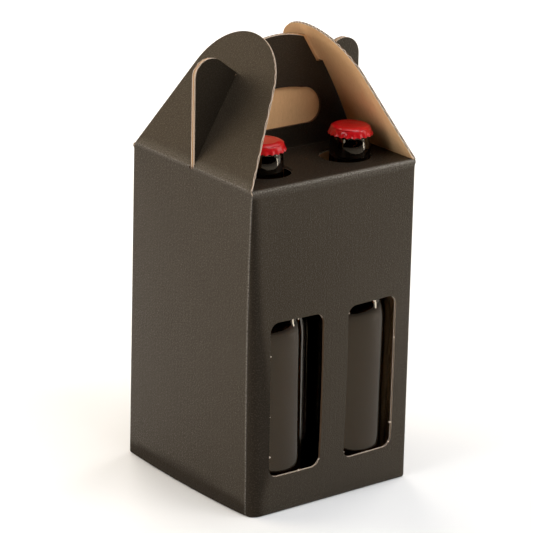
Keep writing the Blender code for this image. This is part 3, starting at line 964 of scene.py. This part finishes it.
def thicken(bm, layers):
    """Give the folded sheet a kraft side and a raw edge all round."""
    dark_faces = list(bm.faces)
    dark_verts = list(bm.verts)
    rim = [edge for edge in bm.edges if len(edge.link_faces) == 1]
    outward = {}
    for edge in rim:
        loop = edge.link_loops[0]
        ends = (loop.vert, loop.link_loop_next.vert)
        away = (ends[1].co - ends[0].co).cross(loop.face.normal).normalized()
        for vert in ends:
            outward[vert] = outward.get(vert, Vector((0, 0, 0))) + away
    columns = {}
    for vert, away in outward.items():
        behind = vert[layers["behind"]]
        column = [vert]
        for share, recess in RIM_ROWS:
            place = vert.co.lerp(behind, share) - away.normalized() * recess
            column.append(rim_vert(bm, layers, vert, share, place))
        columns[vert] = column
    twins = {vert: rim_vert(bm, layers, vert, 1.0, vert[layers["behind"]]) for vert in dark_verts}
    for edge in rim:
        loop = edge.link_loops[0]
        start = columns[loop.vert] + [twins[loop.vert]]
        end = columns[loop.link_loop_next.vert] + [twins[loop.link_loop_next.vert]]
        for i in range(len(start) - 1):
            face = bm.faces.new((end[i], start[i], start[i + 1], end[i + 1]))
            face.material_index = RAW
    for face in dark_faces:
        twin = bm.faces.new([twins[vert] for vert in reversed(face.verts)])
        twin.material_index = KRAFT


print("rows across a cut edge:", len(RIM_ROWS) + 2)

# %% [markdown]
# ## Shreds of paper
# A die tears the last fibres instead of cutting them, and a few stay on the edges as pale flecks. They
# are too few for a particle system and would look even if noise placed them, so each is a small tapering
# chip in a table, set where the picture shows one.

# %% Shreds on the cut edges
NIB_DEPTH = 0.15 * MM
NIB_THICKNESS = 0.45 * MM
NIB_SHARE = 0.93
NIB_ROOT = 0.4
NIB_SHOULDER = (0.55, 0.38)
NIB_HIP = (0.7, 0.3)
# Each shred: across and up in millimetres, heading in degrees, reach and width in millimetres.
NIBS = (
    (-49.7, 105.1, 0, 1.0, 0.9), (-49.7, 65.4, 0, 0.6, 0.6), (-49.7, 38.8, 0, 1.3, 1.5),
    (-26.2, 24.7, 90, 1.1, 1.3), (-10.0, 29.1, 200, 1.0, 1.1), (-29.0, 126.5, -90, 1.0, 0.8),
    (10.0, 122.1, 0, 0.9, 0.9), (30.7, 126.5, -90, 0.9, 0.8), (49.7, 97.9, 180, 1.3, 0.9),
    (49.7, 40.4, 165, 2.8, 1.0), (48.3, 27.3, 150, 1.3, 1.1), (29.9, 24.7, 90, 0.9, 0.9),
    (10.0, 29.1, 10, 0.7, 0.7),
)
SLIT_NIBS = (
    (2.2, 218.0, 60, 0.7, 0.6), (2.3, 238.0, 20, 0.7, 0.6), (2.2, 262.0, -30, 0.6, 0.6),
    (-2.6, 212.6, 235, 2.2, 1.3), (-3.0, 214.0, 120, 1.8, 1.0),
)


def add_nib(bm, layers, fold, turn, nib):
    """A shred of paper left on a cut edge: a small tapering fleck that sticks out of the edge."""
    across, up, heading, reach, width = nib
    angle = math.radians(heading)
    ahead = Vector((math.cos(angle), math.sin(angle)))
    aside = Vector((-ahead.y, ahead.x))
    root = Vector((across, up))
    back = root - ahead * NIB_ROOT
    tip = ahead * reach
    corners = [back + aside * width / 2,
               root + tip * NIB_SHOULDER[0] + aside * width * NIB_SHOULDER[1],
               root + tip,
               root + tip * NIB_HIP[0] - aside * width * NIB_HIP[1],
               back - aside * width / 2]
    rotation = Matrix.Rotation(turn, 3, "Z")
    sides = []
    for depth in (NIB_DEPTH, NIB_DEPTH + NIB_THICKNESS):
        ring = []
        for corner in corners:
            point, facing = fold(corner.x * MM, corner.y * MM)
            vert = bm.verts.new(settle(rotation @ (point - facing * depth)))
            vert[layers["blank"]] = Vector((corner.x * MM + turn, corner.y * MM, NIB_SHARE))
            ring.append(vert)
        sides.append(ring)
    faces = [bm.faces.new(sides[0]), bm.faces.new(sides[1][::-1])]
    for i in range(len(corners)):
        faces.append(bm.faces.new((sides[0][i], sides[0][i - 1], sides[1][i - 1], sides[1][i])))
    for face in faces:
        face.material_index = RAW
    bmesh.ops.recalc_face_normals(bm, faces=faces)


print("shreds of paper:", len(NIBS) + len(SLIT_NIBS))

# %% [markdown]
# ## The carton in one mesh
# The four strips are folded, turned to their sides and welded along the corners they share. Then the foot
# is closed, and every open edge that is left gets its thickness. The real carton is one blank too, so one
# mesh lets light and wear run round its corners without a seam.

# %% Carton mesh
LEFT_TURN = -0.5 * math.pi
RIGHT_TURN = 0.5 * math.pi
BOARD_SHARP = math.radians(38)


def carton_mesh():
    """The folded carton as one mesh."""
    bm = bmesh.new()
    layers = {}
    for name in ("behind", "blank"):
        layers[name] = bm.verts.layers.float_vector.new(name)
    for name in ("wear_and_highlight", "pressed", "dull"):
        layers[name] = bm.verts.layers.float.new(name)
    front = face_sheet(LEFT_FLAP, RIGHT_FLAP, FRONT_PLAY, FRONT_EARS, [hand_hole_outline()])
    back = face_sheet(RIGHT_FLAP, LEFT_FLAP, BACK_PLAY, BACK_EARS, [])
    for sheet, turn, soft_end in ((front, 0, -1), (back, math.pi, 0)):
        add_strip(bm, layers, sheet, partial(fold_face, soft_end=soft_end), turn)
    for flap, turn, soft_end in ((RIGHT_FLAP, RIGHT_TURN, 0), (LEFT_FLAP, LEFT_TURN, 1)):
        fold = partial(fold_side, flap=flap, soft_end=soft_end)
        add_strip(bm, layers, side_sheet(flap), fold, turn)
    bmesh.ops.remove_doubles(bm, verts=bm.verts, dist=WELD)
    foot = [e for e in bm.edges if len(e.link_faces) == 1 and max(v.co.z for v in e.verts) < WELD]
    bmesh.ops.edgeloop_fill(bm, edges=foot)
    bmesh.ops.recalc_face_normals(bm, faces=bm.faces)
    bm.normal_update()
    thicken(bm, layers)
    for nib in NIBS:
        add_nib(bm, layers, partial(fold_face, soft_end=-1), 0, nib)
    for nib in SLIT_NIBS:
        add_nib(bm, layers, partial(fold_side, flap=LEFT_FLAP, soft_end=1), LEFT_TURN, nib)
    bmesh.ops.triangulate(bm, faces=[face for face in bm.faces if len(face.verts) > 4])
    bm.verts.layers.float_vector.remove(layers["behind"])
    mesh = bpy.data.meshes.new("carton_board")
    bm.to_mesh(mesh)
    bm.free()
    mesh.shade_smooth()
    mesh.set_sharp_from_angle(angle=BOARD_SHARP)
    return mesh


board_mesh = carton_mesh()
print("carton:", len(board_mesh.vertices), "vertices,", len(board_mesh.polygons), "faces")

# %% [markdown]
# ## Dark printed paper
# The outside is kraft paper printed nearly black, with a faint sheen. Up close it shows three scales:
# fine grain that glints, faint upright ribs where the paper lies on the flutes, and broad unevenness from
# handling. Grain and unevenness are noise in blank coordinates, which turn every fold without a seam, and
# the ribs are a sine wave. A second, duller shader takes over where the mesh says that the board is matt.

# %% Dark finish
FLUTE_PITCH = 3.6 * MM
SHEEN_TINT = (1.0, 0.80, 0.54, 1.0)
INK = ((0.0040, 0.0028, 0.0020), (0.0170, 0.0125, 0.0090))
SPECK_GREY = (0.085, 0.068, 0.054)
# Pale grey of worn folds, also used as the painted highlight on the crease over the front.
WEAR_AND_HIGHLIGHT_GREY = (0.33, 0.31, 0.28)


def flute_wave(finish, across):
    """The wave of the flutes at a place across the blank, from minus one to one."""
    return finish.node("ShaderNodeMath", {"operation": "SINE"}, {0: across * (math.tau / FLUTE_PITCH)})


def dark_finish():
    """Dark printed kraft paper over flutes, matt where it was crushed."""
    finish = Finish("dark printed board", specular_ior_level=0.5, specular_tint=SHEEN_TINT)
    blank = finish.attribute("blank", "Vector")
    grain = finish.noise(blank, 0.9 * MM, 3.0, 0.65)
    specks = finish.noise(blank, 0.85 * MM, 1.0, 0.5)
    clouds = finish.noise(blank, 26 * MM, 3.0, 0.55)
    ribs = flute_wave(finish, finish.split(blank)[0]) * 0.5 + 0.5
    # Wear on the folds, and a painted highlight on the crease over the front wall.
    worn_and_highlit = finish.attribute("wear_and_highlight", "Fac") * grain.between(0.38, 0.60)
    shade = (grain - 0.5) * 0.8 + (clouds - 0.5) * 0.4 + 0.35
    ink = finish.mix(shade.clipped(), *INK)
    speckled = finish.mix(specks.between(0.50, 0.70) * 0.22, ink, SPECK_GREY)
    base = finish.mix(worn_and_highlit * 0.9, speckled, WEAR_AND_HIGHLIGHT_GREY)
    finish.set("Base Color", base)
    finish.set("Roughness", 0.56 - 0.28 * specks.between(0.45, 0.75) + 0.16 * (grain - 0.5) - 0.22 * worn_and_highlit)
    normal = finish.bump(grain * 0.8 + specks * 0.8 + ribs * 0.06, 0.36 * MM)
    matt = finish.node("ShaderNodeBsdfPrincipled", {}, {
        "Base Color": base, "Roughness": 0.75, "Normal": normal,
        "Specular IOR Level": 0.27, "Specular Tint": SHEEN_TINT})
    finish.blend(finish.attribute("dull", "Fac"), matt)
    return finish.material


board_mesh.materials.append(dark_finish())
print("nodes in the dark finish:", len(board_mesh.materials[DARK].node_tree.nodes))

# %% [markdown]
# ## Bare kraft and the cut edge
# The inside is bare kraft paper with fibres that run one way, so its noise is stretched. A cut edge shows
# two pale papers with the wave between them. That could be modelled flute by flute, at a great many
# faces. Here the finish draws it from how deep in the board each point lies, and the cavities of the wave
# get painted shade in place of real holes.

# %% Kraft and raw finishes
KRAFT_TONES = ((0.72, 0.425, 0.200), (0.93, 0.60, 0.31))
FLECK_BROWN = (0.3, 0.15, 0.06)
PALE_PAPER = ((0.52, 0.39, 0.28), (0.88, 0.75, 0.63))
# Painted shade for the cavities of the flutes, drawn dark in place of real holes.
FLUTE_CAVITY_SHADE = ((0.10, 0.062, 0.036), (0.34, 0.23, 0.15))
PRESSED_BROWN = (0.11, 0.066, 0.038)
SKIN_BLACK = (0.05, 0.04, 0.03)


def kraft_finish():
    """Bare kraft paper with fibres and small dark flecks."""
    finish = Finish("natural kraft", roughness=0.82, specular_ior_level=0.25)
    blank = finish.attribute("blank", "Vector")
    fibres = finish.noise(blank.scaled((1.0, 0.22, 1.0)), 0.8 * MM, 4.0, 0.6)
    flecks = finish.noise(blank, 0.9 * MM, 2.0, 0.5).between(0.66, 0.76)
    clouds = finish.noise(blank, 18 * MM, 3.0, 0.5)
    ribs = flute_wave(finish, finish.split(blank)[0]) * 0.5 + 0.5
    shade = (fibres - 0.5) * 0.9 + (clouds - 0.5) * 0.6 + (ribs - 0.5) * 0.05 + 0.5
    paper = finish.mix(shade.clipped(), *KRAFT_TONES)
    finish.set("Base Color", finish.mix(flecks * 0.45, paper, FLECK_BROWN))
    finish.bump(fibres * 0.6 + ribs * 0.15, 0.12 * MM)
    return finish.material


def raw_finish():
    """The cut edge: dark paper, the wave with painted shade in the cavities beside it, pale kraft paper."""
    finish = Finish("raw cut edge", roughness=0.9, specular_ior_level=0.15)
    blank = finish.attribute("blank", "Vector")
    across, _, depth = finish.split(blank)
    middle = 0.5 + flute_wave(finish, across) * 0.3
    paper = 1 - abs(depth - middle).between(0.1, 0.2)
    liner = depth.between(0.8, 0.86)
    skin = 1 - depth.between(0.06, 0.14)
    torn = finish.noise(blank, 1.1 * MM, 3.0, 0.6)
    pale = finish.mix(torn, *PALE_PAPER)
    # Painted shade: the cavities beside the wave are drawn dark, as holes that light can't reach would
    # look.
    cavity_shade = finish.mix(torn, *FLUTE_CAVITY_SHADE)
    inner = finish.mix((paper + liner).clipped(), cavity_shade, pale)
    shut = finish.mix(finish.attribute("pressed", "Fac"), inner, PRESSED_BROWN)
    finish.set("Base Color", finish.mix(skin * 0.8, shut, SKIN_BLACK))
    finish.bump(torn + paper * 0.5, 0.15 * MM)
    return finish.material


carton = bpy.data.objects.new("carton_board", board_mesh)
bpy.context.scene.collection.objects.link(carton)
board_mesh.materials.append(kraft_finish())
board_mesh.materials.append(raw_finish())
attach(carton, "root")
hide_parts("carton")
print("finishes on the carton:", [material.name for material in board_mesh.materials])

# %% [markdown]
# ## Bottles
# A bottle is a turned shape, so one profile and a full turn give it. A screw modifier could turn it as
# well, but rings made in code also serve the caps, whose skirts aren't round. The profile is a smooth
# curve through a few radii, outside and inside, because light bends at both faces, and a bottle with one
# face looks like a solid bar.

# %% Turned shapes
# Radius and height of each point, in millimetres.
BOTTLE_OUTSIDE = (
    (0.0, 2.2), (10.0, 2.0), (19.0, 1.5), (23.5, 0.3), (25.6, 0.0), (27.6, 0.6), (29.3, 2.8), (30.0, 6.5),
    (30.0, 30.0), (30.0, 60.0), (30.0, 90.0), (30.0, 100.0), (29.98, 104.4), (29.65, 110.0), (28.95, 115.0),
    (27.7, 120.5), (26.0, 126.0), (23.8, 131.8), (21.3, 138.0), (18.9, 145.0), (17.0, 153.0), (15.5, 163.0),
    (14.4, 175.0), (13.6, 188.0), (13.05, 200.0), (12.78, 207.0), (12.7, 212.5), (12.58, 215.4),
    (12.27, 217.9), (11.9, 219.9), (11.6, 221.0), (11.7, 221.7), (12.3, 222.6), (12.45, 223.6),
    (12.45, 224.8), (12.1, 226.2), (11.2, 226.8), (10.2, 226.7), (9.5, 226.0),
)
BOTTLE_INSIDE = (
    (9.2, 224.0), (9.2, 210.0), (9.8, 196.0), (10.9, 182.0), (12.2, 169.0), (13.8, 156.0), (16.2, 146.0),
    (18.8, 138.0), (21.4, 131.0), (23.9, 124.0), (25.7, 117.0), (26.8, 109.0), (27.0, 102.0), (27.0, 70.0),
    (27.0, 30.0), (27.0, 11.0), (26.0, 7.0), (22.5, 5.2), (12.0, 5.6), (0.0, 5.8),
)
# Each bottle: where its foot stands and how far its neck leans, both in millimetres.
BOTTLES = {
    "front_left": ((-32.0, -33.0), (0.1, 1.4)),
    "front_right": ((31.2, -33.8), (3.0, 0.6)),
    "back_left": ((-31.0, 31.5), (0.0, 0.8)),
    "back_right": ((31.0, 31.5), (-0.6, 0.6)),
}
BOTTLE_REST = 25.6 * MM
BASE_BOARD = 3.0 * MM
CAP_FOOT = 222.2 * MM
SEGMENTS = 96


def smooth_profile(points, pieces=4):
    """A curve through the points of a profile, in metres."""
    result = []
    for i in range(len(points) - 1):
        before = points[max(0, i - 1)]
        after = points[min(len(points) - 1, i + 2)]
        for k in range(pieces):
            t = k / pieces
            pair = []
            for axis in (0, 1):
                a, b, c, d = before[axis], points[i][axis], points[i + 1][axis], after[axis]
                pair.append(0.5 * (2 * b + (c - a) * t + (2 * a - 5 * b + 4 * c - d) * t * t
                                   + (3 * b - a - 3 * c + d) * t ** 3) * MM)
            result.append((max(0.0, pair[0]), pair[1]))
    last = points[-1]
    return result + [(last[0] * MM, last[1] * MM)]


def turned_rings(profile, segments, crimp=None):
    """Rings of points turned about Z from radius and height pairs, with a crimp if one is given."""
    rings = []
    for radius, height in profile:
        if radius < WELD:
            rings.append([(0, 0, height)])
            continue
        ring = []
        for i in range(segments):
            angle = math.tau * i / segments
            reach, rise = crimp(radius, height, angle) if crimp else (radius, height)
            ring.append((reach * math.cos(angle), reach * math.sin(angle), rise))
        rings.append(ring)
    return rings


def mesh_of_rings(name, rings, segments):
    """A closed mesh through rings of points; a ring of one point closes an end."""
    bm = bmesh.new()
    loops = []
    for ring in rings:
        loop = [bm.verts.new(point) for point in ring]
        loops.append(loop if len(loop) > 1 else loop * segments)
    for below, above in zip(loops, loops[1:]):
        for i in range(segments):
            k = (i + 1) % segments
            corners = list(dict.fromkeys((below[i], below[k], above[k], above[i])))
            if len(corners) > 2:
                bm.faces.new(corners)
    bmesh.ops.recalc_face_normals(bm, faces=bm.faces)
    mesh = bpy.data.meshes.new(name)
    bm.to_mesh(mesh)
    bm.free()
    mesh.shade_smooth()
    return mesh


def stand(mesh, foot, neck):
    """Tip a piece of a bottle and set it on its foot, as the solid stands."""
    tip = Vector((neck[0] * MM, neck[1] * MM, CAP_FOOT)).normalized()
    slack = BOTTLE_REST * math.hypot(tip.x, tip.y)
    place = Vector((foot[0] * MM, foot[1] * MM, BASE_BOARD + LAYER_GAP + slack))
    turn = Vector((0, 0, 1)).rotation_difference(tip).to_matrix().to_4x4()
    mesh.transform(Matrix.Translation(place) @ turn)


def place_piece(name, mesh, finish, node):
    """Make an object of a mesh, give it its finish and let it stand for a solid."""
    piece = bpy.data.objects.new(name, mesh)
    bpy.context.scene.collection.objects.link(piece)
    mesh.materials.append(finish)
    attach(piece, "root")
    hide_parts(node)
    return piece


print("bottle is", max(BOTTLE_OUTSIDE)[0] * 2, "mm wide")

# %% [markdown]
# ## Glass and beer
# Brown glass gets its depth from two faces and from the dark liquid behind them. The beer is a piece of its
# own that reaches just into the glass: with air between them the liquid would shine like a mirror. Painted
# glass would be faster, but it shows no light through the windows of the carton.

# %% Glass, beer and their pieces
FILL_HEIGHT = 172.0
FILL_RADIUS = 11.9
WALL_REACH = 0.15
BEER_EDGE = math.radians(40)
GLASS_BROWN = (0.10, 0.032, 0.010)
GLASS_TINT = (1.0, 0.84, 0.62, 1.0)
BEER_AMBER = (0.30, 0.11, 0.02)


def glass_finish():
    """Dark brown bottle glass."""
    finish = Finish("brown bottle glass", base_color=GLASS_BROWN, roughness=0.03, ior=1.5,
                    transmission_weight=1.0, specular_tint=GLASS_TINT)
    return finish.material


def beer_finish():
    """Amber liquid, dark in this depth."""
    finish = Finish("amber beer", base_color=BEER_AMBER, roughness=0.02, ior=1.34,
                    transmission_weight=1.0)
    return finish.material


def beer_profile():
    """The inside of the bottle up to the fill, grown by a hair into the glass."""
    inside_up = [ring for ring in reversed(BOTTLE_INSIDE) if ring[1] < FILL_HEIGHT]
    rings = [(radius + WALL_REACH * (radius > 0), height - WALL_REACH) for radius, height in inside_up]
    rings.append((FILL_RADIUS + WALL_REACH, FILL_HEIGHT))
    return smooth_profile(rings) + [(0.0, FILL_HEIGHT * MM)]


glass = glass_finish()
beer = beer_finish()
bottle_profile = smooth_profile(BOTTLE_OUTSIDE) + smooth_profile(BOTTLE_INSIDE)
for place, (foot, neck) in BOTTLES.items():
    mesh = mesh_of_rings(f"glass_{place}", turned_rings(bottle_profile, SEGMENTS), SEGMENTS)
    stand(mesh, foot, neck)
    place_piece(f"glass_{place}", mesh, glass, f"bottle_{place}")
    mesh = mesh_of_rings(f"amber_{place}", turned_rings(beer_profile(), SEGMENTS), SEGMENTS)
    mesh.set_sharp_from_angle(angle=BEER_EDGE)
    stand(mesh, foot, neck)
    place_piece(f"amber_{place}", mesh, beer, f"beer_{place}")
print("glass faces each:", len(bpy.data.meshes["glass_front_left"].polygons))

# %% [markdown]
# ## Crown caps
# A crown cap is a disc whose skirt is crimped into twenty-one flutes. Modelling the skirt as a wave on a
# turned shape gives real teeth that break the highlight into short marks, which no bump map does at the
# outline. The top is not flat: it domes a little, with a shallow pressed ring.

# %% Caps
FLUTES = 21
FLUTE_STEPS = 12
CRIMP_HEIGHT = 3.6 * MM
CRIMP_POWER = 1.2
SKIRT_RADIUS = 11 * MM
FLUTE_DEPTH = 0.48 * MM
FLUTE_SET_BACK = 0.35
TOOTH_LIFT = 0.35 * MM
TOOTH_POWER = 0.8
# Radius and height of each point, in millimetres.
CAP_SIDE = (
    (0.0, 6.12), (4.0, 6.1), (7.4, 6.03), (8.2, 6.1), (8.8, 6.16), (9.5, 6.08), (10.4, 5.92), (11.3, 5.55),
    (12.0, 5.0), (12.5, 4.3), (12.85, 3.5), (13.1, 2.7), (13.4, 1.8), (13.75, 0.9), (14.0, 0.12),
    (13.85, 0.0), (13.5, 0.15), (13.1, 1.6), (12.6, 3.0), (12.2, 4.2), (11.6, 4.8), (0.0, 5.3),
)


def tooth(angle):
    """One flute of the skirt: a rounded ridge with a narrower valley, from minus one to one."""
    wave = math.cos(FLUTES * angle)
    return 1 - 2 * abs((1 - wave) / 2) ** TOOTH_POWER


def cap_crimp(radius, height, angle):
    """Where the crimp moves a point of the skirt, more the lower it lies."""
    drop = min(1.0, max(0.0, (CRIMP_HEIGHT - height) / CRIMP_HEIGHT))
    flute = FLUTE_DEPTH * drop ** CRIMP_POWER * (radius > SKIRT_RADIUS)
    reach = radius + flute * tooth(angle) - FLUTE_SET_BACK * flute
    lift = TOOTH_LIFT * drop ** 3 * (1 - tooth(angle)) / 2
    return reach, height + lift


def cap_mesh(name):
    """A crimped cap with its skirt's foot where it sits on the bottle."""
    segments = FLUTES * FLUTE_STEPS
    rings = turned_rings(smooth_profile(CAP_SIDE, 3), segments, cap_crimp)
    mesh = mesh_of_rings(name, rings, segments)
    mesh.transform(Matrix.Translation((0, 0, CAP_FOOT)))
    return mesh


ENAMEL_REDS = ((0.48, 0.003, 0.006), (0.61, 0.007, 0.011))


def cap_finish():
    """Glossy red enamel on tinplate."""
    finish = Finish("red cap enamel", coat_weight=0.6, coat_roughness=0.04, specular_ior_level=0.2)
    place = finish.node("ShaderNodeTexCoord", {}, {}, "Object")
    mottle = finish.noise(place, 3.0 * MM, 3.0, 0.5)
    finish.set("Base Color", finish.mix(mottle, *ENAMEL_REDS))
    finish.set("Roughness", 0.26 + 0.14 * mottle)
    return finish.material


enamel = cap_finish()
for place, (foot, neck) in BOTTLES.items():
    mesh = cap_mesh(f"crown_{place}")
    stand(mesh, foot, neck)
    place_piece(f"crown_{place}", mesh, enamel, f"cap_{place}")
print("cap faces each:", len(bpy.data.meshes["crown_front_left"].polygons))

# %% [markdown]
# ## The dressed carrier and the solids
# Soft folds and teeth may pass the solids by a hair.
